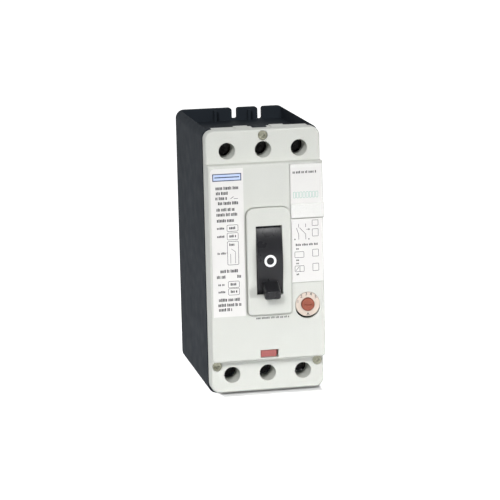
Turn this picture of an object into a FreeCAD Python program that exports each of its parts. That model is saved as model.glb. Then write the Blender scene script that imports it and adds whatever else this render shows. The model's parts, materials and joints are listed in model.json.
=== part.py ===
"""Three-pole moulded-case motor breaker, built as the separate pieces it comes apart into.

X runs across the poles, Y from the front face to the mounting face, Z along the current path
with the line terminals at the top. The origin is the centre of the mounting face. A depth is
the distance forward of the mounting face, so a depth of 10 is the plane Y = -10.
"""
import FreeCAD
import Part
import math
import operator
import os
from types import SimpleNamespace

import Sketcher
from FreeCAD import Placement, Rotation, Vector

SIZES = {
    # moulded base
    "base_width": 72.4, "base_height": 166, "base_depth": 96, "side_wall": 3.2,
    "floor_depth": 4, "corner_radius": 5.5, "pole_pitch": 22.4, "partition": 2.4,
    "chamber_half": 59.5, "end_wall": 2.5, "recess_floor": 75, "rim": 2.5, "rear_wall": 4.5,
    "pocket_width": 14.8, "pocket_floor": 55, "notch_depth": 7,
    # front cover
    "cover_width": 71.4, "cover_top": 82.4, "cover_bottom": -81.2, "cover_side": 9,
    "cover_skin": 2.4, "cover_edge": 1.3, "main_top": 62.2, "main_bottom": -60.4,
    "main_raise": 6.5, "main_corner": 2, "access_radius": 5.1, "sleeve_wall": 1.5, "guide_wall": 0.7,
    "guide_rear": 89.2, "tongue_reach": 30,
    # handle and its frame
    "handle_offset": 0.8, "bezel_width": 27.6, "bezel_top": 35.2, "bezel_bottom": -31.4,
    "bezel_raise": 2.5, "bezel_seat": 1.2, "bezel_seam": 0.4, "bezel_dome": 5.2,
    "bezel_foot": 2.2, "window_width": 16.4, "window_top": 24.1, "window_bottom": -18.7,
    "window_margin": 6,
    "drum_radius": 46, "drum_skin": 3.2, "drum_spread": 49, "drum_proud": 2.5,
    "knob_reach": 10.5, "knob_width": 10, "knob_root": 8, "knob_angle": 20.5,
    # terminals
    "terminal_height": 70, "bar_width": 12, "bar_gauge": 2.5, "bar_depth": 60, "bar_rear": 6,
    "cage_half": 6, "cage_wall": 1.6,
    # contacts
    "crossbar_depth": 15.8, "crossbar_height": -14, "crossbar_radius": 8, "arm_length": 42,
    "arm_gauge": 5, "arm_half": 4, "contact_gauge": 1.5, "contact_opening": 30,
    # operating linkage
    "cradle_pin_depth": 60, "cradle_pin_height": 0, "upper_link": 20, "lower_link": 18.4,
    "plate_gauge": 1.4, "plate_inside": 7, "pin_radius": 1.5, "running_fit": 0.05,
    # trip unit
    "trip_bar_depth": 84, "trip_bar_height": -46, "trip_bar_radius": 2.5,
    "button_height": -56.4, "button_width": 9.8, "button_tall": 4.4, "armature_hinge": 23,
    # setting dial
    "dial_across": 24.7, "dial_height": -26.7, "dial_radius": 4.05, "scale_radius": 7.6,
    "scale_gap": 0.15, "crescent_drop": 1.3,
    # accessory bay
    "bay_left": 15, "bay_right": 35.7, "flap_top": 61, "flap_bottom": 27.4,
    "bay_cover_bottom": -12.7, "panel_gauge": 2, "tab_height": 9, "flap_proud": 0.4,
    "label_gauge": 0.25, "label_left": 15.4, "label_right": 33.9,
    # fixings
    "insert_height": 66, "insert_depth": 10, "insert_radius": 3, "thread_radius": 1.65,
}

doc = FreeCAD.newDocument("breaker")
sheet = doc.addObject("Spreadsheet::Sheet", "Sizes")
for row, (alias, number) in enumerate(SIZES.items(), start=1):
    sheet.set(f"A{row}", alias)
    sheet.set(f"B{row}", str(number))
    sheet.setAlias(f"B{row}", alias)
doc.recompute()


class Size:
    """A number kept together with the sheet expression that it comes from."""

    def __init__(self, text, number):
        self.text = text
        self.number = number

    def joined(self, other, sign, compute, reverse=False):
        left, right = (size(other), self) if reverse else (self, size(other))
        return Size(f"({left.text} {sign} {right.text})", compute(left.number, right.number))

    def __add__(self, other):
        return self.joined(other, "+", operator.add)

    def __sub__(self, other):
        return self.joined(other, "-", operator.sub)

    def __mul__(self, other):
        return self.joined(other, "*", operator.mul)

    def __truediv__(self, other):
        return self.joined(other, "/", operator.truediv)

    def __rsub__(self, other):
        return self.joined(other, "-", operator.sub, reverse=True)

    def __neg__(self):
        return Size(f"(0 - {self.text})", -self.number)

    __radd__ = __add__
    __rmul__ = __mul__


def size(value):
    """Any plain number as a Size."""
    return value if isinstance(value, Size) else Size(f"({value})", value)


S = SimpleNamespace(**{alias: Size(f"Sizes.{alias}", number) for alias, number in SIZES.items()})

# Positions that several pieces share.
HALF_WIDTH = S.base_width / 2
HALF_HEIGHT = S.base_height / 2
CELL_HALF = (S.pole_pitch - S.partition) / 2
INNER_SIDE = HALF_WIDTH - S.side_wall
POCKET_HALF = S.pocket_width / 2
COVER_FRONT = S.base_depth + S.cover_side
MAIN_FRONT = COVER_FRONT + S.main_raise
BEZEL_FRONT = MAIN_FRONT + S.bezel_raise
BEZEL_LEFT = S.handle_offset - S.bezel_width / 2
BEZEL_RIGHT = S.handle_offset + S.bezel_width / 2
FLAP_FRONT = MAIN_FRONT + S.flap_proud
HANDLE_HEIGHT = (S.window_top + S.window_bottom) / 2
HANDLE_DEPTH = BEZEL_FRONT + S.drum_proud - S.drum_radius
SILL = S.chamber_half + S.end_wall
POLES = {"left": -1, "centre": 0, "right": 1}
ENDS = {"line": 1, "load": -1}
TURNED = {
    "x": Rotation(Vector(0, 1, 0), 90),
    "y": Rotation(Vector(1, 0, 0), -90),
    "z": Rotation(),
}
PLUNGER_HEIGHT = S.button_height + 1.2
SEAT_DEPTH = 88.5
nodes = {}


# ---------------------------------------------------------------- building helpers

def bind(item, prop, value):
    """Tie a property to the sheet."""
    item.setExpression(prop, size(value).text)


def new(kind, name):
    item = doc.addObject(kind, name)
    item.Label = name
    return item


def box(name, x, depth, z):
    """A block between two planes each way; depth runs forward from the mounting face."""
    block = new("Part::Box", name)
    y = (-size(depth[1]), -size(depth[0]))
    for side, axis, span in zip(("Length", "Width", "Height"), "xyz", (x, y, z)):
        bind(block, side, size(span[1]) - span[0])
        bind(block, f"Placement.Base.{axis}", span[0])
    return block


def rod(name, radius, along, centre, span):
    """A cylinder along X (centre: depth, height), Y (across, height) or Z (across, depth)."""
    bar = new("Part::Cylinder", name)
    bar.Placement = Placement(Vector(), TURNED[along])
    bind(bar, "Radius", radius)
    bind(bar, "Height", size(span[1]) - span[0])
    if along == "x":
        start = (span[0], -size(centre[0]), centre[1])
    elif along == "y":
        start = (centre[0], -size(span[1]), centre[1])
    else:
        start = (centre[0], -size(centre[1]), span[0])
    for axis, value in zip("xyz", start):
        bind(bar, f"Placement.Base.{axis}", value)
    return bar


def cut(name, base, tool):
    item = new("Part::Cut", name)
    item.Base = base
    item.Tool = tool
    return item


def fuse(name, parts):
    item = new("Part::MultiFuse", name)
    item.Shapes = parts
    item.Refine = True
    return item


def group(name, parts):
    item = new("Part::Compound", name)
    item.Links = parts
    return item


def place(item, x=0, depth=0, z=0):
    """Bind where an item's own origin stands."""
    for axis, value in zip("xyz", (x, -size(depth), z)):
        bind(item, f"Placement.Base.{axis}", value)
    return item


def tilt(item, angle):
    """Turn an item about X through its own origin; positive brings its top forward."""
    item.Placement = Placement(item.Placement.Base, Rotation(Vector(1, 0, 0), 1))
    bind(item, "Placement.Rotation.Angle", angle)
    return item


def rounded(name, base, radius, picks):
    """Round the edges of a Part item whose middle point passes the test."""
    doc.recompute()
    item = new("Part::Fillet", name)
    item.Base = base
    edges = enumerate(base.Shape.Edges, start=1)
    item.Edges = [(number, radius, radius) for number, edge in edges if picks(middle(edge))]
    return item


def middle(edge):
    return edge.valueAt((edge.FirstParameter + edge.LastParameter) / 2)


def new_body(name):
    return new("PartDesign::Body", name)


def sketch_on(body, name, role, offset=0):
    """A sketch on one of a body's own origin planes, moved along the plane's normal."""
    sketch = body.newObject("Sketcher::SketchObject", name)
    planes = [plane for plane in body.Origin.OriginFeatures if plane.Role == role]
    sketch.AttachmentSupport = (planes[0], [""])
    sketch.MapMode = "FlatFace"
    bind(sketch, "AttachmentOffset.Base.z", offset)
    return sketch


def pin_point(sketch, curve, end, point):
    """Hold one point of a sketch at bound coordinates."""
    for kind, value in zip(("DistanceX", "DistanceY"), point):
        value = size(value)
        number = sketch.addConstraint(
            Sketcher.Constraint(kind, -1, 1, curve, end, value.number))
        sketch.setExpression(f"Constraints[{number}]", value.text)


def polygon(sketch, points):
    """A closed outline of straight lines."""
    first = sketch.GeometryCount
    corners = [Vector(size(u).number, size(v).number, 0) for u, v in points]
    for start, end in zip(corners, corners[1:] + corners[:1]):
        sketch.addGeometry(Part.LineSegment(start, end), False)
    count = len(points)
    for index in range(count):
        following = first + (index + 1) % count
        sketch.addConstraint(
            Sketcher.Constraint("Coincident", first + index, 2, following, 1))
    for index, point in enumerate(points):
        pin_point(sketch, first + index, 1, point)


def rectangle(sketch, across, up):
    polygon(sketch, [(across[0], up[0]), (across[1], up[0]),
                     (across[1], up[1]), (across[0], up[1])])


def circle(sketch, centre, radius):
    radius = size(radius)
    middle_point = Vector(size(centre[0]).number, size(centre[1]).number, 0)
    curve = sketch.addGeometry(Part.Circle(middle_point, Vector(0, 0, 1), radius.number), False)
    pin_point(sketch, curve, 3, centre)
    number = sketch.addConstraint(Sketcher.Constraint("Radius", curve, radius.number))
    sketch.setExpression(f"Constraints[{number}]", radius.text)


def pad(body, sketch, length, symmetric=False):
    feature = body.newObject("PartDesign::Pad", f"{sketch.Name}_pad")
    feature.Profile = sketch
    bind(feature, "Length", length)
    feature.Midplane = symmetric
    doc.recompute()
    return feature


def pocket(body, sketch, length, reverse=False):
    """Cut against the sketch's normal, or along it when reversed; it has to remove material."""
    before = body.Shape.Volume
    feature = body.newObject("PartDesign::Pocket", f"{sketch.Name}_pocket")
    feature.Profile = sketch
    bind(feature, "Length", length)
    feature.Reversed = reverse
    doc.recompute()
    if not body.Shape.Volume < before:
        raise RuntimeError(f"{sketch.Name} cuts nothing")
    return feature


def round_edges(body, base, radius, picks):
    """Round the edges of a body whose middle point passes the test."""
    feature = body.newObject("PartDesign::Fillet", f"{base.Name}_fillet")
    edges = enumerate(base.Shape.Edges, start=1)
    names = [f"Edge{number}" for number, edge in edges if picks(middle(edge))]
    feature.Base = (base, names)
    bind(feature, "Radius", radius)
    doc.recompute()
    return feature


def near(value, target, reach=0.05):
    return abs(value - size(target).number) < reach


def sideways(at, left, right):
    return near(at.x, left) or near(at.x, right)


def pole_x(side):
    return side * S.pole_pitch


def profile_plate(name, points, thickness, x=0, holes=()):
    """A plate of constant thickness across X, from its outline in (depth, height)."""
    plate = new_body(name)
    sketch = sketch_on(plate, f"{name}_outline", "YZ_Plane")
    polygon(sketch, [(-size(depth), height) for depth, height in points])
    pad(plate, sketch, thickness, symmetric=True)
    for index, (depth, height, radius) in enumerate(holes):
        bore = sketch_on(plate, f"{name}_bore_{index}", "YZ_Plane", size(thickness) / 2)
        circle(bore, (-size(depth), height), radius)
        pocket(plate, bore, thickness)
    place(plate, x)
    return plate


# ---------------------------------------------------------------- moulded base and cover

def make_base():
    """Deep black box, open at the front, divided into three poles, recessed at both ends."""
    base = new_body("base_housing")
    outline = sketch_on(base, "base_outline", "XZ_Plane")
    rectangle(outline, (-HALF_WIDTH, HALF_WIDTH), (-HALF_HEIGHT, HALF_HEIGHT))
    block = pad(base, outline, S.base_depth)
    half_width = HALF_WIDTH.number
    half_height = HALF_HEIGHT.number
    round_edges(base, block, S.corner_radius,
                lambda at: near(abs(at.x), half_width) and near(abs(at.z), half_height))

    cells = sketch_on(base, "base_cells", "XZ_Plane", S.base_depth)
    edges = (-INNER_SIDE, -CELL_HALF - S.partition, -CELL_HALF,
             CELL_HALF, CELL_HALF + S.partition, INNER_SIDE)
    for left, right in zip(edges[::2], edges[1::2]):
        rectangle(cells, (left, right), (-S.chamber_half, S.chamber_half))
    pocket(base, cells, S.base_depth - S.floor_depth)

    pockets = sketch_on(base, "terminal_pockets", "XZ_Plane", S.base_depth)
    sills = sketch_on(base, "bar_sills", "XZ_Plane", S.base_depth)
    for side in POLES.values():
        middle_x = pole_x(side)
        pocket_x = (middle_x - POCKET_HALF, middle_x + POCKET_HALF)
        sill_x = (middle_x - S.bar_width / 2 - 0.2, middle_x + S.bar_width / 2 + 0.2)
        for end in ENDS.values():
            rectangle(pockets, pocket_x, sorted_span(end * SILL, end * (S.recess_floor + 1)))
            rectangle(sills, sill_x, sorted_span(end * (S.chamber_half - 1), end * (SILL + 1)))
    pocket(base, pockets, S.base_depth - S.pocket_floor)
    pocket(base, sills, S.base_depth - S.bar_depth)

    for name, end in ENDS.items():
        recess = sketch_on(base, f"{name}_recess", "XY_Plane", end * HALF_HEIGHT)
        rectangle(recess, (-INNER_SIDE, INNER_SIDE),
                  (S.rim - S.base_depth, -S.rear_wall))
        pocket(base, recess, HALF_HEIGHT - S.recess_floor, reverse=end < 0)

    fins = sketch_on(base, "recess_fins", "XZ_Plane", S.rear_wall - 1)
    posts = sketch_on(base, "cover_post", "XZ_Plane", S.base_depth - 16)
    for side in (-1, 1):
        boundary = side * S.pole_pitch / 2
        rectangle(fins, (boundary - 0.8, boundary + 0.8),
                  (S.recess_floor - 1, HALF_HEIGHT - 1))
    pad(base, fins, 5)
    circle(posts, (0, S.recess_floor + 3.4), 3.7)
    pad(base, posts, 15)

    notches = sketch_on(base, "wiring_notches", "XZ_Plane", S.rear_wall + 0.5)
    for left, right, bottom in NOTCHES:
        rectangle(notches, (left, right), (bottom, HALF_HEIGHT + 1))
    notched = pocket(base, notches, S.rear_wall + 1)
    for radius, level in ((1.6, "top"), (1.1, "bottom")):
        notched = round_edges(base, notched, radius, lambda at: on_notch(at, level))

    rim_room = sketch_on(base, "tongue_room", "XZ_Plane", S.base_depth)
    for side in (-1, 1):
        rectangle(rim_room, sorted_span(side * size(4.2), side * (S.tongue_reach + 0.3)),
                  (S.cover_top - S.cover_skin - 0.3, HALF_HEIGHT + 1))
    pocket(base, rim_room, S.rim + 0.5)

    slots = sketch_on(base, "shaft_slots", "XZ_Plane", S.base_depth)
    latch_slots = sketch_on(base, "trip_bar_slots", "XZ_Plane", S.base_depth)
    for side in (-1, 1):
        boundary = side * S.pole_pitch / 2
        walls = (boundary - S.partition / 2 - 0.1, boundary + S.partition / 2 + 0.1)
        reach = S.crossbar_radius + 0.4
        rectangle(slots, walls, (S.crossbar_height - reach, S.crossbar_height + reach))
        bar_reach = S.trip_bar_radius + 0.3
        rectangle(latch_slots, walls,
                  (S.trip_bar_height - bar_reach, S.trip_bar_height + bar_reach))
    pocket(base, slots, S.base_depth - S.crossbar_depth + S.crossbar_radius + 0.4)
    pocket(base, latch_slots, S.base_depth - S.trip_bar_depth + S.trip_bar_radius + 0.3)

    seat = sketch_on(base, "spring_seat", "XZ_Plane", SEAT_DEPTH)
    rectangle(seat, (-7.2, 7.2), (-S.chamber_half - 1.5, PLUNGER_HEIGHT + 2.6))
    pad(base, seat, 2)
    guide = sketch_on(base, "plunger_guide", "XZ_Plane", SEAT_DEPTH + 3)
    circle(guide, (0, PLUNGER_HEIGHT), 1.8)
    pocket(base, guide, 4)

    screws = sketch_on(base, "cover_screw_holes", "XZ_Plane", S.base_depth)
    for across, height in SCREW_PLACES:
        circle(screws, (across, height), 1.3)
    pocket(base, screws, 13)
    inserts = sketch_on(base, "insert_holes", "XZ_Plane")
    for across, height in INSERT_PLACES:
        circle(inserts, (across, height), S.insert_radius)
    pocket(base, inserts, S.insert_depth, reverse=True)
    return base


def on_notch(at, level):
    """True at the edges that run front to back through the top or bottom corners of a notch."""
    for left, right, bottom in NOTCHES:
        height = HALF_HEIGHT if level == "top" else bottom
        if near(at.z, height) and (near(at.x, left) or near(at.x, right)):
            return near(at.y, -(S.rear_wall / 2).number)
    return False


def sorted_span(one, other):
    return (one, other) if one.number < other.number else (other, one)


NOTCHES = [(0.2, 3.7, HALF_HEIGHT - S.notch_depth), (17.3, 20.2, HALF_HEIGHT - S.notch_depth - 1)]
SCREW_PLACES = [(-31.7, -64.1), (31.7, -64.1), (0, 78.6)]
INSERT_PLACES = [(across * S.pole_pitch, height * S.insert_height)
                 for across in (-1, 1) for height in (-1, 1)]


def make_cover():
    """Light grey lid: terminal sections at both ends and a raised middle section."""
    cover = new_body("front_cover")
    half = S.cover_width / 2
    outline = sketch_on(cover, "cover_outline", "XZ_Plane", S.base_depth)
    rectangle(outline, (-half, half), (S.cover_bottom, S.cover_top))
    slab = pad(cover, outline, S.cover_side)
    ends = (S.cover_top.number, S.cover_bottom.number)
    corners = round_edges(
        cover, slab, S.corner_radius,
        lambda at: near(abs(at.x), half) and any(near(at.z, end) for end in ends))
    front = -COVER_FRONT.number
    round_edges(cover, corners, S.cover_edge, lambda at: near(at.y, front))

    raised = sketch_on(cover, "main_section", "XZ_Plane", S.base_depth)
    rectangle(raised, (-half, half), (S.main_bottom, S.main_top))
    main = pad(cover, raised, S.cover_side + S.main_raise)
    main_front = -MAIN_FRONT.number
    lower = round_edges(
        cover, main, S.main_corner,
        lambda at: near(at.z, S.main_bottom) and near(abs(at.x), half) and at.y < front)
    round_edges(cover, lower, S.cover_edge, lambda at: near(at.y, main_front))

    inner = half - S.cover_skin
    hollow = sketch_on(cover, "end_hollow", "XZ_Plane", S.base_depth)
    rectangle(hollow, (-inner, inner),
              (S.cover_bottom + S.cover_skin, S.cover_top - S.cover_skin))
    pocket(cover, hollow, S.cover_side - S.cover_skin, reverse=True)
    main_hollow = sketch_on(cover, "main_hollow", "XZ_Plane", S.base_depth)
    rectangle(main_hollow, (-inner, inner),
              (S.main_bottom + S.cover_skin, S.main_top - S.cover_skin))
    pocket(cover, main_hollow, S.cover_side + S.main_raise - S.cover_skin, reverse=True)

    bay = sketch_on(cover, "accessory_bay", "XZ_Plane", S.base_depth + 2)
    rectangle(bay, (S.bay_left - 1.6, inner + 0.5), (S.flap_bottom - 2, S.main_top - 1))
    pad(cover, bay, MAIN_FRONT - S.base_depth - 3)

    # Screwdriver guides: stout sleeves in the cover that run on as thin tubes into the base.
    sleeves = sketch_on(cover, "access_sleeves", "XZ_Plane", S.base_depth + 0.5)
    guides = sketch_on(cover, "access_guides", "XZ_Plane", S.guide_rear)
    bores = sketch_on(cover, "access_bores", "XZ_Plane", COVER_FRONT + 1)
    for side in POLES.values():
        for end in ENDS.values():
            centre = (pole_x(side), end * S.terminal_height)
            circle(sleeves, centre, S.access_radius + S.sleeve_wall)
            circle(guides, centre, S.access_radius + S.guide_wall)
            circle(bores, centre, S.access_radius)
    pad(cover, sleeves, S.cover_side - 1.5)
    pad(cover, guides, S.base_depth + 1.5 - S.guide_rear)
    pocket(cover, bores, COVER_FRONT + 2 - S.guide_rear)
    post_room = sketch_on(cover, "post_room", "XZ_Plane", S.base_depth)
    circle(post_room, (0, S.recess_floor + 3.4), 4)
    pocket(cover, post_room, S.base_depth + 1 - S.guide_rear)

    tongues = sketch_on(cover, "end_tongues", "XZ_Plane", S.guide_rear)
    for side in (-1, 1):
        rectangle(tongues, sorted_span(side * size(4.5), side * S.tongue_reach),
                  (S.cover_top - S.cover_skin, S.cover_top))
    pad(cover, tongues, S.base_depth + 1 - S.guide_rear)
    for name, side in (("left", -1), ("right", 1)):
        tab = sketch_on(cover, f"edge_tab_{name}", "YZ_Plane", side * S.pole_pitch / 2)
        polygon(tab, [(-S.guide_rear, S.cover_top - 1), (-S.guide_rear, HALF_HEIGHT),
                      (-S.base_depth - 1.5, HALF_HEIGHT),
                      (-COVER_FRONT + S.cover_edge, S.cover_top - 1)])
        pad(cover, tab, 8.6, symmetric=True)

    bosses = sketch_on(cover, "screw_bosses", "XZ_Plane", S.base_depth + 0.1)
    sinks = sketch_on(cover, "screw_sinks", "XZ_Plane", COVER_FRONT + 8)
    shanks = sketch_on(cover, "screw_shanks", "XZ_Plane", COVER_FRONT)
    for across, height in SCREW_PLACES:
        circle(bosses, (across, height), 3.7)
        circle(sinks, (across, height), 3.1)
        circle(shanks, (across, height), 1.8)
    pad(cover, bosses, S.cover_side - 1)
    pocket(cover, sinks, 8 + 2.4)
    pocket(cover, shanks, S.cover_side)

    seat = sketch_on(cover, "bezel_seat", "XZ_Plane", MAIN_FRONT)
    sides = (BEZEL_LEFT - S.bezel_seam, BEZEL_RIGHT + S.bezel_seam)
    levels = (S.bezel_bottom - S.bezel_seam, S.bezel_top + S.bezel_seam)
    rectangle(seat, sides, levels)
    sunk = pocket(cover, seat, S.bezel_seat)
    for level, radius in zip(levels, (S.bezel_foot, S.bezel_dome)):
        sunk = round_edges(cover, sunk, radius + S.bezel_seam,
                           lambda at: near(at.z, level) and sideways(at, *sides))

    window = sketch_on(cover, "bezel_window", "XZ_Plane", MAIN_FRONT)
    reach = S.window_width / 2 + 1.9
    rectangle(window, (S.handle_offset - reach, S.handle_offset + reach),
              (S.window_bottom - S.window_margin, S.window_top + S.window_margin))
    pocket(cover, window, S.cover_skin + 1)

    panels = sketch_on(cover, "panel_recess", "XZ_Plane", MAIN_FRONT)
    rectangle(panels, (S.bay_left - 0.2, half + 1),
              (S.bay_cover_bottom - 0.2, S.flap_top + 0.2))
    pocket(cover, panels, S.panel_gauge)
    bay_room = sketch_on(cover, "bay_room", "XZ_Plane", MAIN_FRONT)
    rectangle(bay_room, (S.bay_left + 1.6, half - 3.2), (S.flap_bottom + 1.6, S.flap_top - 3))
    pocket(cover, bay_room, 12)

    # The scale fits its hole closely, apart from a crescent gap below it.
    for name, drop in (("dial_hole", 0), ("dial_crescent", S.crescent_drop)):
        hole = sketch_on(cover, name, "XZ_Plane", MAIN_FRONT)
        circle(hole, (S.dial_across, S.dial_height - drop), S.scale_radius + S.scale_gap)
        pocket(cover, hole, S.cover_skin + 1)
    slot = sketch_on(cover, "button_slot", "XZ_Plane", MAIN_FRONT)
    half_tall = S.button_tall / 2 + 0.25
    rectangle(slot, (-S.button_width / 2 - 0.7, S.button_width / 2 + 0.9),
              (S.button_height - half_tall, S.button_height + half_tall))
    pocket(cover, slot, 7.5)
    return cover


def make_bezel():
    """Raised frame round the handle, let into the cover, with a collar that snaps through it."""
    bezel = new_body("handle_bezel")
    plate = sketch_on(bezel, "bezel_plate", "XZ_Plane", MAIN_FRONT - S.bezel_seat)
    rectangle(plate, (BEZEL_LEFT, BEZEL_RIGHT), (S.bezel_bottom, S.bezel_top))
    shaped = pad(bezel, plate, S.bezel_seat + S.bezel_raise)
    for level, radius in ((S.bezel_top, S.bezel_dome), (S.bezel_bottom, S.bezel_foot)):
        shaped = round_edges(
            bezel, shaped, radius,
            lambda at: near(at.z, level) and sideways(at, BEZEL_LEFT, BEZEL_RIGHT))
    front = -BEZEL_FRONT.number
    round_edges(bezel, shaped, 0.9, lambda at: near(at.y, front))
    half = S.window_width / 2
    relief = sketch_on(bezel, "drum_relief", "XZ_Plane", MAIN_FRONT - S.bezel_seat)
    rectangle(relief, (S.handle_offset - half, S.handle_offset + half),
              (S.window_bottom - S.window_margin, S.window_top + S.window_margin))
    pocket(bezel, relief, S.bezel_seat, reverse=True)
    collar = sketch_on(bezel, "bezel_collar", "XZ_Plane", MAIN_FRONT - 3.2)
    for side in (-1, 1):
        span = sorted_span(S.handle_offset + side * half, S.handle_offset + side * (half + 1.6))
        rectangle(collar, span, (S.window_bottom - 1.6, S.window_top + 1.6))
    pad(bezel, collar, 3.4)
    window = sketch_on(bezel, "handle_window", "XZ_Plane", BEZEL_FRONT + 1)
    rectangle(window, (S.handle_offset - half, S.handle_offset + half),
              (S.window_bottom, S.window_top))
    pocket(bezel, window, 8)
    return bezel


# ---------------------------------------------------------------- accessory bay and labels

def make_flap():
    """Hinged door of the accessory bay; its lower strip is thicker and is the finger tab."""
    flap = new_body("accessory_flap")
    front = FLAP_FRONT
    rear = MAIN_FRONT - S.panel_gauge + 0.15
    door = sketch_on(flap, "flap_door", "XZ_Plane", rear)
    rectangle(door, (S.bay_left, S.bay_right), (S.flap_bottom, S.flap_top))
    slab = pad(flap, door, front - rear)
    right = S.bay_right.number
    top = S.flap_top.number
    edged = round_edges(flap, slab, 1.5, lambda at: near(at.x, right) and near(at.y, -front.number))
    round_edges(flap, edged, 1.1, lambda at: near(at.z, top) and at.x < right - 1)
    tab = sketch_on(flap, "flap_tab", "XZ_Plane", rear)
    rectangle(tab, (S.bay_left, S.bay_right + 0.4), (S.flap_bottom, S.flap_bottom + S.tab_height))
    solid = pad(flap, tab, front + 0.9 - rear)
    tab_front = -(front + 0.9).number
    round_edges(flap, solid, 0.8, lambda at: near(at.y, tab_front))
    return flap


def make_bay_cover():
    """Snap-in lower cover beside the handle."""
    cover = new_body("accessory_cover")
    rear = MAIN_FRONT - S.panel_gauge
    panel = sketch_on(cover, "bay_cover_panel", "XZ_Plane", rear)
    rectangle(panel, (S.bay_left, S.bay_right), (S.bay_cover_bottom, S.flap_bottom - 0.4))
    slab = pad(cover, panel, S.panel_gauge)
    front = -MAIN_FRONT.number
    right = S.bay_right.number
    round_edges(cover, slab, 1.6, lambda at: near(at.x, right) and near(at.y, front))
    return cover


def make_labels():
    """Thin printed cards on the cover, the flap and the lower accessory cover."""
    rating = new_body("rating_label")
    outline = sketch_on(rating, "rating_outline", "XZ_Plane", MAIN_FRONT)
    rectangle(outline, (-34.3, -14.1), (-31.5, 60.3))
    slab = pad(rating, outline, S.label_gauge)
    round_edges(rating, slab, 2.4, lambda at: near(at.x, -34.3) and near(at.z, 60.3))
    nodes["rating_label"] = rating
    panels = {
        "flap_label": (FLAP_FRONT, S.flap_bottom + S.tab_height + 0.3, S.flap_top - 2.2),
        "accessory_label": (MAIN_FRONT, S.bay_cover_bottom + 1, S.flap_bottom - 1.2),
    }
    for name, (front, low, high) in panels.items():
        nodes[name] = box(name, (S.label_left, S.label_right), (front, front + S.label_gauge),
                          (low, high))


def make_auxiliary_switch():
    """Small black switch block in the accessory bay, with three terminal heads."""
    floor = MAIN_FRONT - 12
    body_box = box("switch_block", (18.5, 30), (floor, floor + 8), (32, 55))
    heads = [rod(f"switch_head_{number}", 1.6, "y", (24.2, 36 + 7 * number), (floor + 8, floor + 9))
             for number in range(3)]
    nodes["auxiliary_switch"] = fuse("auxiliary_switch", [body_box, *heads])


# ---------------------------------------------------------------- fasteners

def screw(name, across, height, head_front, head, shank, length):
    """Cross-headed screw pointing into the breaker; head and shank are (radius, height)."""
    head_radius, head_height = head
    parts = [
        rod(f"{name}_head", head_radius, "y", (across, height),
            (size(head_front) - head_height, head_front)),
        rod(f"{name}_shank", shank, "y", (across, height),
            (size(head_front) - head_height - length, size(head_front) - head_height)),
    ]
    solid = fuse(f"{name}_solid", parts)
    arm = head_radius * 0.62
    reach = (size(head_front) - 1.3, size(head_front) + 1)
    bars = [
        box(f"{name}_slot_a", (size(across) - arm, size(across) + arm), reach,
            (size(height) - 0.5, size(height) + 0.5)),
        box(f"{name}_slot_b", (size(across) - 0.5, size(across) + 0.5), reach,
            (size(height) - arm, size(height) + arm)),
    ]
    return cut(name, solid, fuse(f"{name}_cross", bars))


def make_cover_screws():
    head_front = COVER_FRONT - 0.5
    screws = [screw(f"cover_screw_{number}", across, height, head_front, (2.8, 1.9), 1.25, 18)
              for number, (across, height) in enumerate(SCREW_PLACES)]
    nodes["cover_screws"] = group("cover_screws", screws)


def make_inserts():
    """Blind brass M4 inserts moulded into the mounting face."""
    inserts = []
    for number, (across, height) in enumerate(INSERT_PLACES):
        barrel = rod(f"insert_barrel_{number}", S.insert_radius, "y", (across, height),
                     (0, S.insert_depth))
        thread = rod(f"insert_thread_{number}", S.thread_radius, "y", (across, height),
                     (-1, S.insert_depth - 2))
        inserts.append(cut(f"insert_{number}", barrel, thread))
    nodes["mounting_inserts"] = group("mounting_inserts", inserts)


# ---------------------------------------------------------------- terminals

def make_terminal_bars():
    """Copper bars: in from the cage, over the sill, back to the floor and along it."""
    gauge = S.bar_gauge
    riser = S.chamber_half - 0.8
    inner_ends = {"line": 20, "load": 38}
    for end_name, end in ENDS.items():
        points = [
            (S.bar_depth, end * (S.terminal_height + 6)),
            (S.bar_depth + gauge, end * (S.terminal_height + 6)),
            (S.bar_depth + gauge, end * (riser - gauge)),
            (S.bar_rear + gauge, end * (riser - gauge)),
            (S.bar_rear + gauge, size(end * inner_ends[end_name])),
            (S.bar_rear, size(end * inner_ends[end_name])),
            (S.bar_rear, end * riser),
            (S.bar_depth, end * riser),
        ]
        for pole, side in POLES.items():
            name = f"{end_name}_terminal_{pole}"
            nodes[name] = profile_plate(name, points, S.bar_width, pole_x(side))


def make_clamps():
    """Box clamps round the bar ends: cage, pressure saddle and screw, one of each per wire."""
    saddles, screws = [], []
    for end_name, end in ENDS.items():
        height = end * S.terminal_height
        cages = []
        for pole, side in POLES.items():
            middle_x = pole_x(side)
            tag = f"{end_name}_{pole}"
            half = S.cage_half + 0.9
            cage = box(f"{tag}_cage_block", (middle_x - half, middle_x + half),
                       (S.bar_depth - 3, S.bar_depth + 18), (height - 4.8, height + 4.8))
            room = half - S.cage_wall / 2
            window = box(f"{tag}_cage_room", (middle_x - room, middle_x + room),
                         (S.bar_depth - 1, S.bar_depth + 14), (height - 6, height + 6))
            thread = rod(f"{tag}_cage_thread", 3, "y", (middle_x, height),
                         (S.bar_depth + 13, S.bar_depth + 19))
            cages.append(cut(f"{tag}_cage", cage, fuse(f"{tag}_cage_voids", [window, thread])))
            saddles.append(box(f"{tag}_saddle", (middle_x - 4.8, middle_x + 4.8),
                               (S.bar_depth + 8.5, S.bar_depth + 10), (height - 4.4, height + 4.4)))
            screws.append(screw(f"{tag}_screw", middle_x, height, S.bar_depth + 28, (4.2, 5), 3, 13))
        nodes[f"{end_name}_terminal_cages"] = group(f"{end_name}_terminal_cages", cages)
    nodes["terminal_saddles"] = group("terminal_saddles", saddles)
    nodes["terminal_screws"] = group("terminal_screws", screws)


# ---------------------------------------------------------------- arc chutes and contacts

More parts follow.
